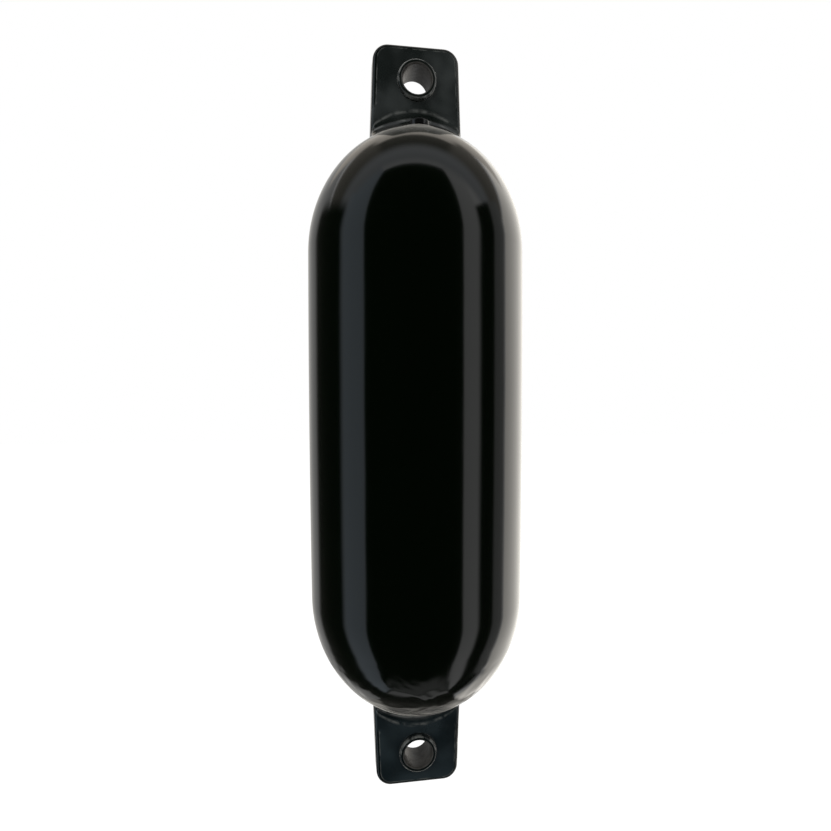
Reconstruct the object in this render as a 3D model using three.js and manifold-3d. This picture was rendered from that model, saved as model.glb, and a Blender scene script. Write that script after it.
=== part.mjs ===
// A small inflatable boat fender: one hollow vinyl moulding with a barrel body, a domed end above and
// below, a flat tab with a bored eye on each dome, and a rubber valve plug in a boss on the upper dome.
// Millimetres, +Z up along the fender. The tabs lie in the XZ plane and the valve is on the -Y side.
// The origin is the centre of the upper eye, where the fender hangs.
import * as THREE from 'three';
import { mergeVertices } from 'three/addons/utils/BufferGeometryUtils.js';
import Module from 'manifold-3d';

const wasm = await Module();
wasm.setup();

// Body
const bodyDiameter = 140;
const barrelBow = 0.5;
const straightLength = 223.2;
const domeHeight = 78.4;
const wallThickness = 3.2;

// Tabs
const tabRootWidth = 58.7;
const tabTipWidth = 55;
const tabThickness = 15;
const tabReach = 53;
const tabCornerRadius = 10;
const tabEdgeRadius = 2.8;
const rootFillet = 11;
const rootSideFillet = 2.5;

// Eyes
const eyeSetback = 22.5;
const eyeBore = 18.6;
const eyeLipWall = 3.2;
const eyeLipProud = 3.7;

// Valve
const valveStandOff = 11;
const valveBore = 10;
const valveSeatDepth = 2.7;
const valveBossWall = 6.5;
const valveBossLength = 9;
const valveMoundRim = 8;
const valveMoundHeight = 1.4;
const plugHeadRim = 1.6;
const plugHeadHeight = 3.6;
const plugHeadRound = 1;
const plugBulbRim = 1.5;
const plugBulbLength = 4;
const needleHole = 2;
const needleHoleDepth = 9;
const plugClearance = 0.3;

// Fineness of the faceted surfaces
const bodySegments = 56;
const cavitySegments = 32;
const eyeSegments = 32;
const valveSegments = 28;
const domeSteps = 10;
const barrelSteps = 4;
const filletSteps = 5;
const cornerSteps = 3;
const faceSteps = 8;
const sideSteps = 2;
const domePasses = 8;

// How deep a joined part sinks into its neighbour, and how far two tangent surfaces are kept apart
const sink = 3;
const skim = 0.12;

// Places and sizes that follow from those above
const bodyRadius = bodyDiameter / 2;
const shoulderZ = straightLength / 2;
const poleZ = shoulderZ + domeHeight;
const tabEndZ = poleZ + tabReach;
const tabFace = tabThickness / 2;
const eyeZ = tabEndZ - eyeSetback;
const eyeRadius = eyeBore / 2;
const lipRadius = eyeRadius + eyeLipWall;
const lipFace = tabFace + eyeLipProud;
const valveRadius = valveBore / 2;
const valveSetback = tabFace + valveStandOff;
const headRadius = valveRadius + plugHeadRim;
const seatRadius = headRadius + plugClearance;
const valveSurfaceZ = domeZ(valveSetback);
const seatZ = valveSurfaceZ + valveMoundHeight - valveSeatDepth;

const vinyl = new THREE.MeshStandardMaterial({ color: 0x191b1a, roughness: 0.15, metalness: 0 });
const rubber = new THREE.MeshStandardMaterial({ color: 0x232322, roughness: 0.55, metalness: 0 });

function point(radius, height) {
  return new THREE.Vector2(radius, height);
}

// A closed geometry as a solid that can be joined and cut
function solid(geometry) {
  const bare = geometry.clone();
  bare.deleteAttribute('normal');
  bare.deleteAttribute('uv');
  const merged = mergeVertices(bare);
  return new wasm.Manifold(new wasm.Mesh({
    numProp: 3,
    vertProperties: new Float32Array(merged.attributes.position.array),
    triVerts: new Uint32Array(merged.index.array),
  }));
}

function part(manifold, name, material) {
  const cut = manifold.getMesh();
  const geometry = new THREE.BufferGeometry();
  geometry.setAttribute('position', new THREE.BufferAttribute(cut.vertProperties, 3));
  geometry.setIndex(new THREE.BufferAttribute(cut.triVerts, 1));
  geometry.computeVertexNormals();
  const mesh = new THREE.Mesh(geometry, material);
  mesh.name = name;
  return mesh;
}

// A lathe whose axis stands upright, along the fender
function turnedUpright(points, segments) {
  return new THREE.LatheGeometry(points, segments).rotateX(Math.PI / 2);
}

// Points of a quarter circle about a centre, from one angle on by a right angle in either sense
function quarter(centre, radius, startAngle, sense) {
  const points = [];
  for (let i = 0; i <= cornerSteps; i += 1) {
    const angle = startAngle + sense * i / cornerSteps * Math.PI / 2;
    points.push(point(centre.x + radius * Math.cos(angle), centre.y + radius * Math.sin(angle)));
  }
  return points;
}

// The barrel is fullest at mid height and narrows a little towards the shoulders
function barrelRadius(z) {
  return bodyRadius - barrelBow * (z / shoulderZ) ** 2;
}

// Height of the upper dome's surface at a distance from the long axis
function domeZ(radius) {
  let z = shoulderZ;
  for (let pass = 0; pass < domePasses; pass += 1) {
    const share = Math.min(radius / barrelRadius(z), 1);
    z = shoulderZ + domeHeight * Math.sqrt(1 - share * share);
  }
  return z;
}

// Rise of the upper dome for each millimetre along a direction in plan
function domeSlope(place, direction) {
  const probe = 0.05;
  const ahead = place.clone().addScaledVector(direction, probe);
  const behind = place.clone().addScaledVector(direction, -probe);
  return (domeZ(ahead.length()) - domeZ(behind.length())) / (2 * probe);
}

// Half profile of the body from pole to pole, set in from the outer surface
function bodyProfile(inset) {
  const points = [];
  const addDome = (step, side) => {
    const angle = step / domeSteps * Math.PI / 2;
    const z = side * (shoulderZ + domeHeight * Math.cos(angle));
    const inward = point(-domeHeight * Math.sin(angle), -side * bodyRadius * Math.cos(angle));
    inward.setLength(inset);
    const radius = step === 0 ? 0 : barrelRadius(z) * Math.sin(angle) + inward.x;
    points.push(point(radius, z + inward.y));
  };
  for (let step = 0; step <= domeSteps; step += 1) {
    addDome(step, -1);
  }
  for (let step = 1; step < barrelSteps; step += 1) {
    const z = (2 * step / barrelSteps - 1) * shoulderZ;
    points.push(point(barrelRadius(z) - inset, z));
  }
  for (let step = domeSteps; step >= 0; step -= 1) {
    addDome(step, 1);
  }
  return points;
}

function tabHalfWidth(z) {
  return (tabRootWidth + (tabTipWidth - tabRootWidth) * (z - poleZ) / tabReach) / 2;
}

// The flat tab: tapered sides, two round corners and a rounded edge all round
function tab() {
  const rootZ = domeZ(tabRootWidth / 2) - sink;
  const lean = Math.atan2(tabRootWidth - tabTipWidth, 2 * tabReach);
  const cornerZ = tabEndZ - tabCornerRadius;
  const cornerX = tabHalfWidth(cornerZ) - tabCornerRadius / Math.cos(lean);
  const outline = new THREE.Shape();
  outline.moveTo(-tabHalfWidth(rootZ), rootZ);
  outline.lineTo(tabHalfWidth(rootZ), rootZ);
  outline.absarc(cornerX, cornerZ, tabCornerRadius, lean, Math.PI / 2, false);
  outline.absarc(-cornerX, cornerZ, tabCornerRadius, Math.PI / 2, Math.PI - lean, false);
  outline.closePath();
  const flat = tabThickness - 2 * tabEdgeRadius;
  const slab = new THREE.ExtrudeGeometry(outline, {
    depth: flat,
    bevelThickness: tabEdgeRadius,
    bevelSize: tabEdgeRadius,
    bevelOffset: -tabEdgeRadius,
    bevelSegments: cornerSteps,
    curveSegments: 2 * cornerSteps,
  });
  return slab.rotateX(Math.PI / 2).translate(0, flat / 2, 0);
}

// The tab's outline in plan at its root: places on the wall, each with the direction away from the tab
function tabPlan() {
  const straightX = tabRootWidth / 2 - tabEdgeRadius;
  const straightY = tabFace - tabEdgeRadius;
  const centres = [[1, 1], [-1, 1], [-1, -1], [1, -1]].map(([x, y]) => point(x * straightX, y * straightY));
  const plan = [];
  centres.forEach((centre, corner) => {
    const next = centres[(corner + 1) % centres.length];
    for (const rim of quarter(centre, tabEdgeRadius, corner * Math.PI / 2, 1)) {
      plan.push({ at: rim, out: rim.clone().sub(centre).normalize() });
    }
    const { at: start, out } = plan[plan.length - 1];
    const stretch = next.clone().sub(centre);
    const steps = corner % 2 === 0 ? faceSteps : sideSteps;
    for (let step = 1; step < steps; step += 1) {
      plan.push({ at: start.clone().addScaledVector(stretch, step / steps), out });
    }
  });
  return plan;
}

// The concave fillet that leads the tab out into the dome, as rings from top to bottom. It is wide on the
// flat faces and narrow at the sides.
function tabRoot() {
  const sections = tabPlan().map(({ at, out }) => {
    const reach = rootFillet * out.y ** 2 + rootSideFillet * out.x ** 2;
    const wall = at.clone().addScaledVector(out, -skim);
    const foot = at.clone().addScaledVector(out, reach);
    const footZ = domeZ(foot.length()) - skim;
    const bendZ = footZ - reach * domeSlope(foot, out);
    const topZ = bendZ + reach;
    const ring = [[at.clone().addScaledVector(out, -tabEdgeRadius), topZ]];
    for (let step = 0; step <= filletSteps; step += 1) {
      const t = step / filletSteps;
      const z = (1 - t) ** 2 * topZ + 2 * t * (1 - t) * bendZ + t ** 2 * footZ;
      ring.push([wall.clone().lerp(foot, t ** 2), z]);
    }
    ring.push([foot.clone().addScaledVector(out, -sink), footZ - sink]);
    return ring;
  });
  const top = [0, 0, poleZ + rootFillet];
  const bottom = [0, 0, domeZ(tabRootWidth / 2) - 2 * sink];
  return closedRings(sections, top, bottom);
}

// A closed skin over rings of points: each section holds one point of every ring, from top to bottom
function closedRings(sections, top, bottom) {
  const rings = sections[0].length;
  const positions = sections.flatMap((section) => section.flatMap(([place, z]) => [place.x, place.y, z]));
  positions.push(...top, ...bottom);
  const topIndex = sections.length * rings;
  const bottomIndex = topIndex + 1;
  const faces = [];
  sections.forEach((section, i) => {
    const here = i * rings;
    const next = (i + 1) % sections.length * rings;
    faces.push(topIndex, here, next);
    faces.push(bottomIndex, next + rings - 1, here + rings - 1);
    for (let ring = 0; ring < rings - 1; ring += 1) {
      faces.push(here + ring, here + ring + 1, next + ring);
      faces.push(next + ring, here + ring + 1, next + ring + 1);
    }
  });
  const geometry = new THREE.BufferGeometry();
  geometry.setAttribute('position', new THREE.Float32BufferAttribute(positions, 3));
  geometry.setIndex(faces);
  return geometry;
}

// The eye's boss, which stands proud of both faces of the tab and ends in a round lip
function eyeBoss() {
  const round = eyeLipWall / 2;
  const lip = point(lipRadius - round, lipFace - round);
  const front = quarter(point(lip.x, -lip.y), round, -Math.PI / 2, 1);
  const back = quarter(lip, round, 0, 1);
  const profile = [point(0, -lipFace), ...front, ...back, point(0, lipFace)];
  return new THREE.LatheGeometry(profile, eyeSegments).translate(0, 0, eyeZ);
}

// The hole through the eye, flared at both ends by the inner half of the lip
function eyeHole() {
  const round = eyeLipWall / 2;
  const lip = point(eyeRadius + round, lipFace - round);
  const front = quarter(point(lip.x, -lip.y), round, -Math.PI / 2, -1);
  const back = quarter(lip, round, Math.PI, -1);
  const profile = [
    point(0, -lipFace - sink),
    point(lip.x, -lipFace - sink),
    ...front,
    ...back,
    point(lip.x, lipFace + sink),
    point(0, lipFace + sink),
  ];
  return new THREE.LatheGeometry(profile, eyeSegments).translate(0, 0, eyeZ);
}

// A cylinder about the valve's axis between two heights
function valveCylinder(radius, fromZ, toZ) {
  const profile = [point(0, fromZ), point(radius, fromZ), point(radius, toZ), point(0, toZ)];
  return turnedUpright(profile, valveSegments).translate(0, -valveSetback, 0);
}

// The low round swelling of the dome about the valve, square to the dome's surface
function valveMound() {
  const radius = seatRadius + valveMoundRim;
  const crownRadius = bodyRadius ** 2 / domeHeight;
  const profile = [point(0, -2 * sink), point(radius - sink, -2 * sink)];
  for (let step = 2 * filletSteps; step >= 0; step -= 1) {
    const reach = radius * step / (2 * filletSteps);
    const swell = valveMoundHeight * Math.cos(Math.PI / 2 * reach / radius) ** 2;
    profile.push(point(reach, swell - reach ** 2 / (2 * crownRadius) - skim));
  }
  const lean = Math.atan(domeSlope(point(0, -valveSetback), point(0, 1)));
  return turnedUpright(profile, valveSegments).rotateX(lean).translate(0, -valveSetback, valveSurfaceZ);
}

// The one-piece vinyl shell: walls, tabs, eyes and the valve's boss, open inside through the valve's bore
function fenderBody() {
  const bossEndZ = seatZ - valveBossLength;
  const boss = solid(valveCylinder(valveRadius + valveBossWall, bossEndZ, seatZ + sink));
  const cavity = solid(turnedUpright(bodyProfile(wallThickness), cavitySegments)).subtract(boss);
  const seat = solid(valveCylinder(seatRadius, seatZ, seatZ + valveSeatDepth + rootFillet));
  const bore = solid(valveCylinder(valveRadius, bossEndZ - sink, seatZ + sink));
  let shell = solid(turnedUpright(bodyProfile(0), bodySegments)).add(solid(valveMound()));
  for (const turn of [0, Math.PI]) {
    for (const added of [tabRoot(), tab(), eyeBoss()]) {
      shell = shell.add(solid(added.rotateY(turn)));
    }
    shell = shell.subtract(solid(eyeHole().rotateY(turn)));
  }
  return shell.subtract(cavity).subtract(seat).subtract(bore);
}

// The needle valve: a rubber plug with a round head in the seat, a neck in the bore, a bulb inside the
// shell that keeps it there, and a blind hole for the pump's needle
function valvePlug() {
  const headTop = plugClearance + plugHeadHeight;
  const neckRadius = valveRadius - plugClearance;
  const bulbRadius = valveRadius + plugBulbRim;
  const bulbTop = -valveBossLength - plugClearance;
  const bulbEnd = bulbTop - plugBulbLength;
  const holeEnd = headTop - needleHoleDepth;
  const rim = point(headRadius - plugHeadRound, headTop - plugHeadRound);
  const profile = [
    point(0, bulbEnd),
    point(neckRadius, bulbEnd),
    point(bulbRadius, bulbEnd + plugBulbLength / 2),
    point(bulbRadius, bulbTop),
    point(neckRadius, bulbTop),
    point(neckRadius, plugClearance),
    point(headRadius, plugClearance),
    ...quarter(rim, plugHeadRound, 0, 1),
    point(needleHole, headTop),
    point(needleHole / 2, headTop - needleHole / 2),
    point(needleHole / 2, holeEnd),
    point(0, holeEnd),
  ];
  return turnedUpright(profile, valveSegments).translate(0, -valveSetback, seatZ);
}

const fender = new THREE.Group();
fender.add(part(fenderBody(), 'fender_body', vinyl));
fender.add(part(solid(valvePlug()), 'valve_plug', rubber));
fender.position.z = -eyeZ;

export default fender;
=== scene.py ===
import math

import bmesh
import bpy
from mathutils import Matrix, Vector


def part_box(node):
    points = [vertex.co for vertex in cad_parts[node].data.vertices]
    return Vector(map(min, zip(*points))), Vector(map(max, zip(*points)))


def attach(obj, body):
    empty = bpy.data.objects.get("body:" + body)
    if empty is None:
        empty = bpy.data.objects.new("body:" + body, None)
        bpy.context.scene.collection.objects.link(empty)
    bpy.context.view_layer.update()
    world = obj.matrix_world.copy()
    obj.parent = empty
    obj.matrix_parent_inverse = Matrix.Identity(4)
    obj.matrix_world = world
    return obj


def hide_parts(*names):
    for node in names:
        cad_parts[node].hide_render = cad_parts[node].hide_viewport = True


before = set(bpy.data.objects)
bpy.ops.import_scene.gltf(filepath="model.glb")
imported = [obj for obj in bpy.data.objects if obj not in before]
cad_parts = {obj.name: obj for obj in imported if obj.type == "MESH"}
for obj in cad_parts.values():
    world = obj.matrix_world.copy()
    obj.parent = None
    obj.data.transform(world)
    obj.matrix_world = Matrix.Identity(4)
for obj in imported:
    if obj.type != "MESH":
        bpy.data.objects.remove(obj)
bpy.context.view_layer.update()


# Fender shell: the body, both tabs and both eyes are one hollow moulding of black vinyl.
# Air stretches the body smooth and glossy, and the solid tabs keep the duller skin of the mould.
# A tab stands on each dome with a rounded root and a lipped eye; its edges are rubbed paler with painted
# highlights, and its root and the dome before it carry pale painted reflections.
shell_low, shell_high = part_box("fender_body")
mid_height = (shell_low.z + shell_high.z) / 2
tab_end = shell_high.z - mid_height
body_radius = shell_high.x
barrel_bow = 0.0005
dome_height = 0.0784
tab_reach = 0.053
tab_root_width = 0.0587
tab_tip_width = 0.055
tab_face = 0.0075
tab_corner_radius = 0.01
tab_edge_radius = 0.0028
fillet_reach = 0.011
fillet_side_reach = 0.0025
fillet_rise_middle = 0.0132
fillet_rise_ends = 0.0085
fillet_side_rise = 0.003
tab_straight_start = 0.0155
eye_height = -mid_height
eye_radius = 0.0093
lip_wall = 0.0032
lip_proud = 0.0037
lip_root_radius = 0.0005
lip_finish = 0.25
rim_finish = 0.25
foot_painted_reflection = 0.32
fold_painted_highlight = 0.6
rim_wear_and_highlight = 0.6
lip_wear_and_glint = 1
reflection_band_middle = 0.8
reflection_band_reach = 0.18
highlight_fillet_rings = (1, 5)
lip_wear_glint_width = 0.0011

pole = tab_end - tab_reach
shoulder = pole - dome_height
tab_lean = math.atan((tab_root_width - tab_tip_width) / 2 / tab_reach)
tab_straight_x = tab_root_width / 2 - tab_edge_radius
tab_straight_y = tab_face - tab_edge_radius
tab_ring_height = pole + tab_straight_start

barrel_rings = 24
dome_rings = 48
fillet_rings = 14
root_rings = 4
corner_steps = 12
face_steps = 40
side_steps = 8
tab_side_steps = 10
tab_top_steps = 14
lip_steps = 10
eye_steps = 96
same_place = 1e-5
surface_steps = 8
crease_angle = math.radians(35)


def barrel_radius(height):
    return body_radius - barrel_bow * (height / shoulder) ** 2


def dome_place(polar, azimuth):
    height = shoulder + dome_height * math.cos(polar)
    reach = barrel_radius(height) * math.sin(polar)
    return Vector((reach * math.cos(azimuth), reach * math.sin(azimuth), height))


def dome_surface(reach):
    """Height of the dome's surface at a distance from the long axis."""
    height = pole
    for _ in range(surface_steps):
        share = min(reach / barrel_radius(height), 1)
        height = shoulder + dome_height * math.sqrt(1 - share * share)
    return height


def dome_slope(place, out):
    probe = 0.00005
    rise = dome_surface((place + probe * out).length) - dome_surface((place - probe * out).length)
    return rise / (2 * probe)


def tab_half_width(height):
    return tab_root_width / 2 - (height - pole) * math.tan(tab_lean)


def tab_plan():
    """Places round the tab's root, each with the way out from it, from the end of the +X side on."""
    plan = []
    signs = ((1, 1), (-1, 1), (-1, -1), (1, -1))
    centres = [Vector((x * tab_straight_x, y * tab_straight_y)) for x, y in signs]
    for corner, centre in enumerate(centres):
        for step in range(corner_steps + 1):
            angle = (corner + step / corner_steps) * math.pi / 2
            out = Vector((math.cos(angle), math.sin(angle)))
            plan.append((centre + tab_edge_radius * out, out))
        start, out = plan[-1]
        stretch = centres[(corner + 1) % 4] - centre
        steps = face_steps if corner % 2 == 0 else side_steps
        for step in range(1, steps):
            plan.append((start + stretch * step / steps, out))
    return plan


def extrude_to(piece, place, finish, wear_highlight_amount=0):
    """Extrudes the selected open edges once and puts each new point in its place."""
    bpy.ops.mesh.extrude_edges_move()
    mesh = bmesh.from_edit_mesh(piece.data)
    station = mesh.verts.layers.int["station"]
    tab_finish = mesh.verts.layers.float["tab_finish"]
    wear_and_highlight = mesh.verts.layers.float["wear_and_highlight"]
    for vertex in mesh.verts:
        if vertex.select:
            vertex.co = place(vertex[station])
            vertex[tab_finish] = finish
            vertex[wear_and_highlight] = wear_highlight_amount
    bmesh.update_edit_mesh(piece.data)


def turn(piece, profile, centre, axis, across, steps):
    """Spins a profile of distances from and along an axis into a round skin."""
    bpy.ops.mesh.select_all(action="DESELECT")
    mesh = bmesh.from_edit_mesh(piece.data)
    points = [mesh.verts.new(centre + across * reach + axis * along) for reach, along in profile]
    for start, end in zip(points, points[1:]):
        mesh.edges.new((start, end))
    for vertex in points:
        vertex.select = True
    mesh.select_flush(True)
    bmesh.update_edit_mesh(piece.data)
    bpy.ops.mesh.spin(steps=steps, angle=2 * math.pi, center=centre, axis=axis)


def arc(centre, radius, start, end, steps):
    """Points of an arc between two angles in degrees."""
    angles = [math.radians(start + (end - start) * step / steps) for step in range(steps + 1)]
    return [(centre[0] + radius * math.cos(a), centre[1] + radius * math.sin(a)) for a in angles]


plan = tab_plan()
ring_points = len(plan)
reaches = [fillet_reach * out.y ** 2 + fillet_side_reach * out.x ** 2 for _, out in plan]
feet = [at + reach * out for (at, out), reach in zip(plan, reaches)]

bpy.ops.object.select_all(action="DESELECT")
bpy.ops.mesh.primitive_circle_add(vertices=ring_points, radius=body_radius)
shell = bpy.context.object
shell.name = "fender_shell"
bpy.ops.object.mode_set(mode="EDIT")
bpy.ops.mesh.select_mode(type="VERT")
bpy.ops.mesh.select_all(action="SELECT")
mesh = bmesh.from_edit_mesh(shell.data)
station_layer = mesh.verts.layers.int.new("station")
mesh.verts.layers.float.new("tab_finish")
# This layer carries both wear marks and painted highlights and reflections
mesh.verts.layers.float.new("wear_and_highlight")
for vertex in mesh.verts:
    vertex[station_layer] = vertex.index
bmesh.update_edit_mesh(shell.data)


def ring_azimuth(station):
    return 2 * math.pi * (station + side_steps / 2) / ring_points


def barrel_ring(height):
    def place(station):
        azimuth = ring_azimuth(station)
        reach = barrel_radius(height)
        return Vector((reach * math.cos(azimuth), reach * math.sin(azimuth), height))
    return place


def dome_ring(share):
    """A ring part of the way up the dome, drawn in from the barrel's circle to the fillet's foot."""
    ease = share * share * (3 - 2 * share)

    def place(station):
        foot = feet[station]
        foot_polar = math.acos((dome_surface(foot.length) - shoulder) / dome_height)
        polar = math.pi / 2 + (foot_polar - math.pi / 2) * share
        azimuth = ring_azimuth(station)
        drift = (math.atan2(foot.y, foot.x) - azimuth + math.pi) % (2 * math.pi) - math.pi
        return dome_place(polar, azimuth + drift * ease)
    return place


def fillet_ring(share):
    """A ring of the hollow fillet, from its top on the tab at 0 to its foot on the dome at 1."""
    def place(station):
        at, out = plan[station]
        foot = feet[station]
        foot_height = dome_surface(foot.length)
        bend = foot_height - reaches[station] * dome_slope(foot, out)
        middle = 1 - (at.x / (tab_root_width / 2)) ** 2
        face_rise = fillet_rise_ends + (fillet_rise_middle - fillet_rise_ends) * middle
        top = bend + face_rise * out.y ** 2 + fillet_side_rise * out.x ** 2
        height = (1 - share) ** 2 * top + 2 * share * (1 - share) * bend + share ** 2 * foot_height
        wall = Vector((at.x * tab_half_width(height) / (tab_root_width / 2), at.y))
        side = wall.lerp(foot, share ** 2)
        return Vector((side.x, side.y, height))
    return place


def root_ring(share):
    """A ring of the tab's straight root, from the fillet's top at 0 to a level ring at 1."""
    def place(station):
        at = plan[station][0]
        height = fillet_ring(0)(station).z * (1 - share) + tab_ring_height * share
        return Vector((at.x * tab_half_width(height) / (tab_root_width / 2), at.y, height))
    return place


first_ring = barrel_ring(0)
for vertex in mesh.verts:
    vertex.co = first_ring(vertex[station_layer])
for ring in range(1, barrel_rings + 1):
    extrude_to(shell, barrel_ring(shoulder * ring / barrel_rings), 0)
# Dome rings; a band of them before each tab is marked pale, a painted reflection
for ring in range(1, dome_rings + 1):
    wear_highlight_amount = foot_painted_reflection * max(0, 1 - abs(ring / dome_rings - reflection_band_middle) / reflection_band_reach)
    extrude_to(shell, dome_ring(ring / dome_rings), 0, wear_highlight_amount)
# Fillet rings; two of them carry pale lines, a painted highlight
for ring in range(fillet_rings - 1, -1, -1):
    wear_highlight_amount = fold_painted_highlight if ring in highlight_fillet_rings else 0
    extrude_to(shell, fillet_ring(ring / fillet_rings), (1 - ring / fillet_rings) ** 3, wear_highlight_amount)
for ring in range(1, root_rings + 1):
    extrude_to(shell, root_ring(ring / root_rings), 1)

# The tab's rim is drawn up one side, over the end and down the other side
corner_height = tab_end - tab_corner_radius
corner_inset = tab_corner_radius / math.cos(tab_lean)
corner_centre = Vector((tab_half_width(corner_height) - corner_inset, corner_height))
inner_radius = tab_corner_radius - tab_edge_radius
side_out = Vector((math.cos(tab_lean), math.sin(tab_lean)))
side_inset = tab_edge_radius / math.cos(tab_lean)
side_start = Vector((tab_half_width(tab_ring_height) - side_inset, tab_ring_height))
side_end = corner_centre + inner_radius * side_out
rim_path = []
for step in range(1, tab_side_steps + 1):
    rim_path.append((side_start.lerp(side_end, step / tab_side_steps), side_out))
for step in range(1, corner_steps + 1):
    angle = tab_lean + (math.pi / 2 - tab_lean) * step / corner_steps
    out = Vector((math.cos(angle), math.sin(angle)))
    rim_path.append((corner_centre + inner_radius * out, out))
top_start = rim_path[-1][0]
for step in range(1, tab_top_steps // 2 + 1):
    along_top = top_start.x * (1 - 2 * step / tab_top_steps)
    rim_path.append((Vector((along_top, top_start.y)), Vector((0, 1))))


def rim_row(spine, out, side):
    def place(station):
        at = plan[station][0]
        proud = at.x - tab_straight_x
        across = spine.x + proud * out.x
        return Vector((side * across, at.y, spine.y + proud * out.y))
    return place


def rim_foot(station):
    right = root_ring(1)(station)
    return Vector((-right.x, right.y, right.z))


rim_stations = {station for station, (at, _) in enumerate(plan) if at.x > tab_straight_x - same_place}
bpy.ops.mesh.select_all(action="DESELECT")
mesh = bmesh.from_edit_mesh(shell.data)
station_layer = mesh.verts.layers.int["station"]
for vertex in mesh.verts:
    on_ring = abs(vertex.co.z - tab_ring_height) < same_place
    vertex.select = on_ring and vertex[station_layer] in rim_stations
mesh.select_flush(True)
bmesh.update_edit_mesh(shell.data)
for spine, out in rim_path:
    extrude_to(shell, rim_row(spine, out, 1), 1)
for spine, out in rim_path[-2::-1]:
    extrude_to(shell, rim_row(spine, out, -1), 1)
extrude_to(shell, rim_foot, 1)

# The eye's lip and bore are turned about the hole's own axis
lip_radius = eye_radius + lip_wall
lip_face = tab_face + lip_proud
lip_round = lip_wall / 2
root_centre = (lip_radius + lip_root_radius, tab_face + lip_root_radius)
crest_centre = (eye_radius + lip_round, lip_face - lip_round)
root_arc = arc(root_centre, lip_root_radius, 270, 180, lip_steps)
crest_arc = arc(crest_centre, lip_round, 0, 180, 2 * lip_steps)
eye_front = root_arc + crest_arc
eye_profile = eye_front + [(reach, -along) for reach, along in reversed(eye_front)]
eye_centre = Vector((0, 0, eye_height))
turn(shell, eye_profile, eye_centre, Vector((0, -1, 0)), Vector((1, 0, 0)), eye_steps)
bpy.ops.mesh.select_all(action="SELECT")
bpy.ops.mesh.remove_doubles(threshold=same_place)

# Each flat of the tab is filled round the eye, with a narrow border that keeps its shading flat
flat_border = 0.0004
for side in (-1, 1):
    bpy.ops.mesh.select_all(action="DESELECT")
    mesh = bmesh.from_edit_mesh(shell.data)
    for edge in mesh.edges:
        level = all(abs(vertex.co.y - side * tab_face) < same_place for vertex in edge.verts)
        if edge.is_boundary and level:
            edge.select = True
    bmesh.update_edit_mesh(shell.data)
    bpy.ops.mesh.fill(use_beauty=True)
    bpy.ops.mesh.inset(thickness=flat_border, use_even_offset=True)
bpy.ops.mesh.select_all(action="SELECT")
bpy.ops.mesh.remove_doubles(threshold=same_place)

# The flats are dull, the rim and the lip less so, and the edges of both are rubbed paler, partly wear
# and partly painted highlight
mesh = bmesh.from_edit_mesh(shell.data)
tab_finish = mesh.verts.layers.float["tab_finish"]
wear_and_highlight = mesh.verts.layers.float["wear_and_highlight"]
for vertex in mesh.verts:
    if vertex.co.z > tab_ring_height - same_place:
        from_eye = math.hypot(vertex.co.x, vertex.co.z - eye_height)
        on_flat = abs(abs(vertex.co.y) - tab_face) < same_place
        if from_eye < lip_radius + same_place:
            vertex[tab_finish] = lip_finish
            # The lip's crest gets a pale ring, partly wear and partly a painted glint
            on_crest = abs(vertex.co.y) > lip_face - lip_round and from_eye > lip_radius - lip_wear_glint_width
            vertex[wear_and_highlight] = lip_wear_and_glint if on_crest else 0
        else:
            vertex[tab_finish] = 1 if on_flat else rim_finish
            # The flat's edge gets a pale border, partly wear and partly a painted highlight
            others = [edge.other_vert(vertex).co.y for edge in vertex.link_edges]
            at_edge = on_flat and any(abs(abs(y) - tab_face) > same_place for y in others)
            vertex[wear_and_highlight] = rim_wear_and_highlight if at_edge else 0
bmesh.update_edit_mesh(shell.data)
bpy.ops.object.mode_set(mode="OBJECT")

# The lower half is the upper one mirrored, and then the whole is set down in its place
bpy.ops.object.modifier_add(type="MIRROR")
mirror = shell.modifiers[-1]
mirror.use_axis = (False, False, True)
mirror.merge_threshold = same_place
bpy.ops.object.modifier_apply(modifier=mirror.name)
bpy.ops.object.mode_set(mode="EDIT")
bpy.ops.mesh.select_all(action="SELECT")
bpy.ops.mesh.normals_make_consistent(inside=False)
bpy.ops.transform.translate(value=(0, 0, mid_height))

# The dome swells a little round the valve
plug_low, plug_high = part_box("valve_plug")
valve_y = (plug_low.y + plug_high.y) / 2
plug_proud = 0.0036
plug_gap = 0.0003
seat_height = plug_high.z - plug_proud - plug_gap
seat_radius = 0.0069
mound_radius = 0.0149
mound_height = 0.0014
valve_foot = Vector((0, valve_y, dome_surface(-valve_y) + mid_height))
valve_out = Vector((0, -dome_slope(Vector((0, valve_y)), Vector((0, 1))), 1)).normalized()
mesh = bmesh.from_edit_mesh(shell.data)
for vertex in mesh.verts:
    offset = vertex.co - valve_foot
    along = offset.dot(valve_out)
    aside = (offset - along * valve_out).length
    if aside < mound_radius and abs(along) < mound_radius:
        vertex.co += valve_out * mound_height * math.cos(math.pi / 2 * aside / mound_radius) ** 2
bmesh.update_edit_mesh(shell.data)
bpy.ops.object.mode_set(mode="OBJECT")

# The valve's seat, bore and the room for the plug's bulb are cut from above
bore_radius = 0.005
bore_length = 0.009
bulb_room_radius = 0.0075
bulb_room_end = 0.0155
seat_cut_top = 0.0137
valve_steps = 64
valve_profile = [
    (0, -bulb_room_end),
    (bulb_room_radius, -bulb_room_end),
    (bulb_room_radius, -bore_length),
    (bore_radius, -bore_length),
    (bore_radius, 0),
    (seat_radius, 0),
    (seat_radius, seat_cut_top),
    (0, seat_cut_top),
]


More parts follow.
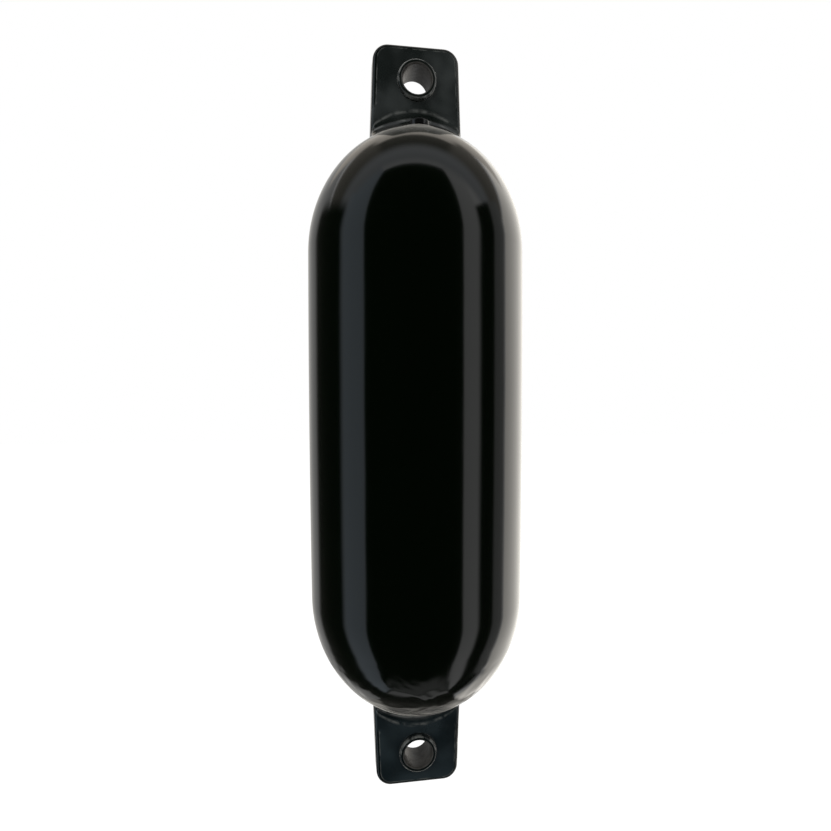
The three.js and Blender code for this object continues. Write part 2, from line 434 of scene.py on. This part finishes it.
def turned_piece(name, profile):
    """A closed round piece, turned about the valve's upright axis from the height of its seat."""
    bpy.ops.object.select_all(action="DESELECT")
    bpy.ops.mesh.primitive_circle_add(vertices=3, radius=same_place)
    piece = bpy.context.object
    piece.name = name
    bpy.ops.object.mode_set(mode="EDIT")
    bpy.ops.mesh.delete(type="VERT")
    seat = Vector((0, valve_y, seat_height))
    turn(piece, profile, seat, Vector((0, 0, 1)), Vector((1, 0, 0)), valve_steps)
    bpy.ops.mesh.select_all(action="SELECT")
    bpy.ops.mesh.remove_doubles(threshold=same_place)
    bpy.ops.mesh.normals_make_consistent(inside=False)
    bpy.ops.object.mode_set(mode="OBJECT")
    return piece


cutter = turned_piece("valve_cutter", valve_profile)
bpy.ops.object.select_all(action="DESELECT")
shell.select_set(True)
bpy.context.view_layer.objects.active = shell
bpy.ops.object.modifier_add(type="BOOLEAN")
cut = shell.modifiers[-1]
cut.operation = "DIFFERENCE"
cut.object = cutter
cut.solver = "EXACT"
bpy.ops.object.modifier_apply(modifier=cut.name)
bpy.data.objects.remove(cutter)
bpy.ops.object.shade_smooth_by_angle(angle=crease_angle)


def add_node(tree, kind, **settings):
    """A new node of a material with its own settings."""
    node = tree.nodes.new(kind)
    for name, value in settings.items():
        setattr(node, name, value)
    return node


def shaded_material(name):
    """A new material, with its nodes and its shader."""
    material = bpy.data.materials.new(name)
    material.use_nodes = True
    tree = material.node_tree
    return material, tree, tree.nodes["Principled BSDF"]


def noise(tree, scale, detail, distortion=0):
    """A cloudy pattern fixed to the piece, as a share from 0 to 1."""
    place = add_node(tree, "ShaderNodeTexCoord")
    pattern = add_node(tree, "ShaderNodeTexNoise")
    pattern.inputs["Scale"].default_value = scale
    pattern.inputs["Detail"].default_value = detail
    pattern.inputs["Distortion"].default_value = distortion
    tree.links.new(place.outputs["Object"], pattern.inputs["Vector"])
    return pattern.outputs["Fac"]


def smooth_share(tree, value, start, end):
    """A share that goes smoothly from 0 where the value is at its start to 1 at its end."""
    share = add_node(tree, "ShaderNodeMapRange", interpolation_type="SMOOTHSTEP")
    share.inputs["From Min"].default_value = start
    share.inputs["From Max"].default_value = end
    tree.links.new(value, share.inputs["Value"])
    return share.outputs["Result"]


def spread(tree, share, low, high):
    """A value that goes evenly from low to high as the share goes from 0 to 1."""
    value = add_node(tree, "ShaderNodeMapRange")
    value.inputs["To Min"].default_value = low
    value.inputs["To Max"].default_value = high
    tree.links.new(share, value.inputs["Value"])
    return value.outputs["Result"]


def product(tree, first, second):
    times = add_node(tree, "ShaderNodeMath", operation="MULTIPLY")
    tree.links.new(first, times.inputs[0])
    tree.links.new(second, times.inputs[1])
    return times.outputs["Value"]


def between(tree, share, first, second, kind="RGBA"):
    """What lies between two colours or values, each written out or taken from a node."""
    mix = add_node(tree, "ShaderNodeMix", data_type=kind)
    tree.links.new(share, mix.inputs["Factor"])
    socket_type = {"RGBA": "RGBA", "FLOAT": "VALUE"}[kind]
    ends = [socket for socket in mix.inputs if socket.type == socket_type and socket.name in ("A", "B")]
    for socket, value in zip(ends, (first, second)):
        if isinstance(value, tuple):
            socket.default_value = value
        else:
            tree.links.new(value, socket)
    return next(socket for socket in mix.outputs if socket.type == socket_type)


def relief(tree, height, depth, under=None):
    """A surface raised by a share of its depth in metres, on top of another relief."""
    bump = add_node(tree, "ShaderNodeBump")
    bump.inputs["Distance"].default_value = depth
    tree.links.new(height, bump.inputs["Height"])
    if under is not None:
        tree.links.new(under, bump.inputs["Normal"])
    return bump.outputs["Normal"]


vinyl_ior = 1.5
cream_sheen = (1, 0.96, 0.88, 1)
body_black = (0.0005, 0.0016, 0.0005, 1)
upper_tab_dark = (0.0085, 0.0115, 0.0105, 1)
upper_tab_pale = (0.032, 0.037, 0.036, 1)
# The lower tab's bluer tone is a painted reflection
lower_tab_dark_reflected = (0.005, 0.0105, 0.013, 1)
lower_tab_pale_reflected = (0.014, 0.023, 0.027, 1)
# Pale grey for rubbed edges, and for painted highlights and reflections
pale_wear_and_highlight = (0.135, 0.14, 0.132, 1)
bore_dark = (0.014, 0.015, 0.014, 1)
bore_pale = (0.075, 0.07, 0.062, 1)
wave_depth = 0.0002
fold_depth = 0.0029
peel_depth = 0.000004
scuff_depth = 0.0003
lower_eye = 2 * mid_height
crumple_start = lower_eye + 0.09
crumple_full = lower_eye + 0.06


def vinyl_material():
    """Glossy black on the body with slow waves, duller on the tabs, with a fine skin all over."""
    material, tree, shader = shaded_material("black_vinyl")
    link = tree.links.new
    shader.inputs["IOR"].default_value = vinyl_ior
    shader.inputs["Metallic"].default_value = 0
    shader.inputs["Sheen Weight"].default_value = 0.8
    shader.inputs["Sheen Roughness"].default_value = 0.22
    shader.inputs["Sheen Tint"].default_value = cream_sheen
    finish = add_node(tree, "ShaderNodeAttribute", attribute_name="tab_finish").outputs["Fac"]
    wear_highlight_amount = add_node(tree, "ShaderNodeAttribute", attribute_name="wear_and_highlight").outputs["Fac"]
    place = add_node(tree, "ShaderNodeTexCoord")
    height = add_node(tree, "ShaderNodeSeparateXYZ")
    link(place.outputs["Object"], height.inputs["Vector"])
    low_share = smooth_share(tree, height.outputs["Z"], crumple_start, crumple_full)

    # Colour: near black with a trace of green, in paler patches on the tabs, bluer on the lower one as a
    # painted reflection
    patches = smooth_share(tree, noise(tree, scale=34, detail=2), start=0.38, end=0.66)
    upper_tab = between(tree, patches, upper_tab_dark, upper_tab_pale)
    lower_tab_reflected = between(tree, patches, lower_tab_dark_reflected, lower_tab_pale_reflected)
    tab_colour = between(tree, low_share, upper_tab, lower_tab_reflected)
    clean_colour = between(tree, finish, body_black, tab_colour)

    # Wear and painted light: edges are rubbed paler with painted highlights, and folds and a band of the
    # dome carry pale painted reflections, in broken lines
    broken_marks = smooth_share(tree, noise(tree, scale=150, detail=3), start=0.36, end=0.6)
    colour_with_wear_and_highlights = between(tree, product(tree, wear_highlight_amount, broken_marks), clean_colour, pale_wear_and_highlight)
    link(colour_with_wear_and_highlights, shader.inputs["Base Color"])

    # Gloss: the body is polished, the tabs are duller and cloudy
    clouds = noise(tree, scale=60, detail=3)
    body_gloss = spread(tree, clouds, low=0.07, high=0.13)
    tab_gloss = spread(tree, clouds, low=0.2, high=0.38)
    link(between(tree, finish, body_gloss, tab_gloss, "FLOAT"), shader.inputs["Roughness"])

    # Relief: slow waves of the stretched skin, crumples on the lower dome, and the mould's fine peel
    waves = relief(tree, noise(tree, scale=18, detail=1), wave_depth)
    fold_height = product(tree, low_share, noise(tree, scale=36, detail=2, distortion=0.5))
    folds = relief(tree, fold_height, fold_depth, waves)
    peel = relief(tree, noise(tree, scale=700, detail=2), peel_depth, folds)
    link(peel, shader.inputs["Normal"])
    return material


def bore_material():
    """The dull wall of an eye's hole, scuffed by rope."""
    material, tree, shader = shaded_material("eye_bore")
    link = tree.links.new
    shader.inputs["IOR"].default_value = vinyl_ior
    shader.inputs["Specular IOR Level"].default_value = 0.22
    scuffs = noise(tree, scale=260, detail=3)
    link(between(tree, scuffs, bore_dark, bore_pale), shader.inputs["Base Color"])
    link(spread(tree, scuffs, low=0.3, high=0.5), shader.inputs["Roughness"])
    link(relief(tree, scuffs, scuff_depth), shader.inputs["Normal"])
    return material


shell.data.materials.append(vinyl_material())
shell.data.materials.append(bore_material())
bore_reach = eye_radius + lip_round / 2
for face in shell.data.polygons:
    eye = 0 if face.center.z > mid_height else lower_eye
    if math.hypot(face.center.x, face.center.z - eye) < bore_reach:
        face.material_index = 1
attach(shell, "root")
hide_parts("fender_body")


# Valve plug: a small moulded rubber stopper pressed into the valve beside the upper tab.
# Its round head sits in the seat, and its bulb inside the shell keeps it there.
# A pump's needle goes in through the small funnel in the head.
head_radius = 0.0066
head_round = 0.001
neck_radius = bore_radius - plug_gap
bulb_radius = 0.0065
bulb_length = 0.004
needle_hole = 0.002
needle_depth = 0.009
round_steps = 8
head_top = plug_gap + plug_proud
bulb_top = -bore_length - plug_gap
bulb_end = bulb_top - bulb_length
plug_profile = [
    (0, bulb_end),
    (neck_radius, bulb_end),
    (bulb_radius, bulb_end + bulb_length / 2),
    (bulb_radius, bulb_top),
    (neck_radius, bulb_top),
    (neck_radius, plug_gap),
    (head_radius, plug_gap),
    *arc((head_radius - head_round, head_top - head_round), head_round, 0, 90, round_steps),
    (needle_hole, head_top),
    (needle_hole / 2, head_top - needle_hole / 2),
    (needle_hole / 2, head_top - needle_depth),
    (0, head_top - needle_depth),
]
plug = turned_piece("valve_stopper", plug_profile)
bpy.ops.object.shade_smooth_by_angle(angle=crease_angle)

rubber_black = (0.004, 0.0042, 0.004, 1)
rubber_ior = 1.5
grain_depth = 0.00001


def rubber_material():
    """A dark rubber with a soft shine and a fine grain."""
    material, tree, shader = shaded_material("valve_rubber")
    shader.inputs["Base Color"].default_value = rubber_black
    shader.inputs["IOR"].default_value = rubber_ior
    grain = noise(tree, scale=900, detail=2)
    tree.links.new(spread(tree, grain, low=0.15, high=0.28), shader.inputs["Roughness"])
    tree.links.new(relief(tree, grain, grain_depth), shader.inputs["Normal"])
    return material


plug.data.materials.append(rubber_material())
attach(plug, "root")
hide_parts("valve_plug")


# Studio: the fender hangs over a pale floor in an all-white room.
# Pale cards above, below, beside and behind it, with black flags among them, make its reflections.
# The cards are seen by reflections alone, and two large lamps and the world light everything plainly.
camera_place = Vector((-0.0522, -0.358, -0.1968))
camera_tilt = math.radians(-2.71)
camera_turn = math.radians(-8.3)
camera_roll = math.radians(0.11)
sensor_width = 36
photo_width = 831
focal_pixels = 540
floor_drop = 0.5
floor_height = shell_low.z - floor_drop
floor_size = 16
studio = Matrix.Translation((0, 0, mid_height)) @ Matrix.Rotation(camera_turn, 4, "Z")
facing_turns = {
    "x": Matrix.Rotation(math.pi / 2, 4, "Y"),
    "y": Matrix.Rotation(math.pi / 2, 4, "X"),
    "z": Matrix.Identity(4),
}


def card_material(name, colour, strength, soft_share):
    """Plain light that fades out towards the card's edges."""
    material = bpy.data.materials.new(name)
    material.use_nodes = True
    material.cycles.emission_sampling = "NONE"
    tree = material.node_tree
    tree.nodes.clear()
    link = tree.links.new
    output = add_node(tree, "ShaderNodeOutputMaterial")
    glow = add_node(tree, "ShaderNodeEmission")
    glow.inputs["Color"].default_value = (*colour, 1)
    glow.inputs["Strength"].default_value = strength
    clear = add_node(tree, "ShaderNodeBsdfTransparent")
    blend = add_node(tree, "ShaderNodeMixShader")
    place = add_node(tree, "ShaderNodeTexCoord")
    split = add_node(tree, "ShaderNodeSeparateXYZ")
    link(place.outputs["UV"], split.inputs["Vector"])
    half = 0.5
    fades = []
    for side, share in enumerate(soft_share):
        middle = add_node(tree, "ShaderNodeMath", operation="SUBTRACT")
        middle.inputs[1].default_value = half
        link(split.outputs[side], middle.inputs[0])
        away = add_node(tree, "ShaderNodeMath", operation="ABSOLUTE")
        link(middle.outputs["Value"], away.inputs[0])
        fades.append(smooth_share(tree, away.outputs["Value"], half, half - share))
    link(product(tree, *fades), blend.inputs["Fac"])
    link(clear.outputs["BSDF"], blend.inputs[1])
    link(glow.outputs["Emission"], blend.inputs[2])
    link(blend.outputs["Shader"], output.inputs["Surface"])
    return material


def studio_card(name, facing, low, high, colour, strength, soft):
    """A flat card between two corners, in metres from the fender's middle, x right and y away."""
    low, high = Vector(low), Vector(high)
    span = high - low
    size = {"x": (span.z, span.y), "y": (span.x, span.z), "z": (span.x, span.y)}[facing]
    bpy.ops.mesh.primitive_plane_add(size=1)
    card = bpy.context.object
    card.name = name
    stretch = Matrix.Diagonal((*size, 1, 1))
    card.matrix_world = studio @ Matrix.Translation((low + high) / 2) @ facing_turns[facing] @ stretch
    share = [min(soft / length, 0.5) for length in size]
    card.data.materials.append(card_material(name, colour, strength, share))
    card.visible_camera = False
    card.visible_diffuse = False
    card.visible_shadow = False
    card.visible_transmission = False


black = (0, 0, 0)
white = (1, 1, 1)
cool = (0.85, 0.97, 1.1)
pearl = (0.95, 0.98, 1.03)
warm = (1.04, 1, 0.93)
brownish = (1, 0.92, 0.82)
studio_card("front_flag", "y", (-1.35, -1, -5), (1.22, -1, 3.1), black, 0, 0.14)
studio_card("ceiling_panel", "z", (-2.6, -0.5, 1.25), (2.6, 0.14, 1.25), pearl, 0.56, 0.26)
studio_card("ceiling_shade", "z", (-2.6, -0.3, 1.27), (2.6, 0.45, 1.27), brownish, 0.1, 0.08)
studio_card("ceiling_left", "z", (-2.6, -0.1, 1.26), (-0.35, 0.68, 1.26), brownish, 0.22, 0.14)
studio_card("ceiling_right", "z", (0.35, -0.1, 1.26), (2.6, 0.68, 1.26), brownish, 0.26, 0.14)
studio_card("left_strip", "x", (-1.3, -1.16, -5), (-1.3, -0.15, 3.1), cool, 0.64, 0.22)
studio_card("left_flag", "x", (-1.32, -0.5, -5), (-1.32, 1.04, 1.12), black, 0, 0.32)
studio_card("right_strip", "x", (1.15, -1.15, -5), (1.15, -0.42, 3.1), white, 0.85, 0.14)
studio_card("right_flag", "x", (1.17, -0.7, -5), (1.17, -0.04, 0.94), black, 0, 0.08)
studio_card("right_grey", "x", (1.19, -0.3, -5), (1.19, 0.3, 0.96), white, 0.3, 0.1)
studio_card("right_backdrop", "y", (0.3, 1.4, -5), (5, 1.4, 2.4), warm, 1.6, 0.2)
studio_card("left_backdrop", "y", (-5, 1.4, -5), (-0.1, 1.4, 2.4), white, 0.44, 0.2)
studio_card("rear_panel", "y", (-1.5, 1.36, 1.3), (1.5, 1.36, 4.8), brownish, 0.85, 0.2)
studio_card("table_dark", "z", (-0.35, -0.4, -1), (0.35, 0.42, -1), black, 0, 0.06)
studio_card("table_band", "z", (-0.4, -0.54, -0.99), (0.4, -0.15, -0.99), white, 0.26, 0.15)
studio_card("table_light", "z", (-0.3, -0.22, -0.98), (0.3, -0.06, -0.98), white, 0.5, 0.05)
studio_card("table_back", "z", (-0.35, 0.26, -0.97), (0.35, 0.95, -0.97), warm, 0.3, 0.05)

floor_grey = (0.85, 0.85, 0.85, 1)
floor_glow = 1.2
floor_glow_share = 0.75


def floor_material():
    """Pale paint, seen by the camera as white with the fender's soft shadow on it."""
    material, tree, shader = shaded_material("pale_floor")
    link = tree.links.new
    shader.inputs["Base Color"].default_value = floor_grey
    shader.inputs["Roughness"].default_value = 0.9
    shader.inputs["Specular IOR Level"].default_value = 0
    path = add_node(tree, "ShaderNodeLightPath")
    white_glow = add_node(tree, "ShaderNodeEmission")
    white_glow.inputs["Strength"].default_value = floor_glow
    share = add_node(tree, "ShaderNodeMath", operation="MULTIPLY")
    share.inputs[1].default_value = floor_glow_share
    link(path.outputs["Is Camera Ray"], share.inputs[0])
    blend = add_node(tree, "ShaderNodeMixShader")
    link(share.outputs["Value"], blend.inputs["Fac"])
    link(shader.outputs["BSDF"], blend.inputs[1])
    link(white_glow.outputs["Emission"], blend.inputs[2])
    link(blend.outputs["Shader"], tree.nodes["Material Output"].inputs["Surface"])
    return material


bpy.ops.mesh.primitive_plane_add(size=floor_size, location=(0, 0, floor_height))
floor = bpy.context.object
floor.name = "floor"
floor.data.materials.append(floor_material())
floor.visible_glossy = False


def studio_lamp(name, place, size, power):
    """A large soft lamp that faces the fender's middle."""
    bpy.ops.object.light_add(type="AREA", location=place)
    lamp = bpy.context.object
    lamp.name = name
    lamp.data.shape = "DISK"
    lamp.data.size = size
    lamp.data.energy = power
    towards = Vector((0, 0, mid_height)) - Vector(place)
    lamp.rotation_euler = towards.to_track_quat("-Z", "Y").to_euler()
    lamp.visible_glossy = False


studio_lamp("key_lamp", (-1.4, -1.6, 1.6), 1.4, 22)
studio_lamp("fill_lamp", (1.8, 0.8, 1.8), 1.4, 16)

room_light = 0.7
world = bpy.data.worlds.new("white_room")
bpy.context.scene.world = world
world.use_nodes = True
world.cycles.sampling_method = "NONE"
tree = world.node_tree
plain = tree.nodes["Background"]
plain.inputs["Color"].default_value = (1, 1, 1, 1)
plain.inputs["Strength"].default_value = room_light
seen = add_node(tree, "ShaderNodeBackground")
seen.inputs["Color"].default_value = (1, 1, 1, 1)
seen.inputs["Strength"].default_value = 1
path = add_node(tree, "ShaderNodeLightPath")
seen_share = path.outputs["Is Camera Ray"]
for ray in ("Is Glossy Ray", "Is Transmission Ray"):
    either = add_node(tree, "ShaderNodeMath", operation="MAXIMUM")
    tree.links.new(seen_share, either.inputs[0])
    tree.links.new(path.outputs[ray], either.inputs[1])
    seen_share = either.outputs["Value"]
blend = add_node(tree, "ShaderNodeMixShader")
tree.links.new(seen_share, blend.inputs["Fac"])
tree.links.new(plain.outputs["Background"], blend.inputs[1])
tree.links.new(seen.outputs["Background"], blend.inputs[2])
tree.links.new(blend.outputs["Shader"], tree.nodes["World Output"].inputs["Surface"])

bpy.ops.object.camera_add(
    location=camera_place,
    rotation=(math.pi / 2 + camera_tilt, camera_roll, camera_turn),
)
camera = bpy.context.object
camera.data.sensor_width = sensor_width
camera.data.lens = sensor_width * focal_pixels / photo_width
camera.data.clip_start = 0.01
bpy.context.scene.camera = camera
bpy.context.scene.view_settings.view_transform = "Standard"
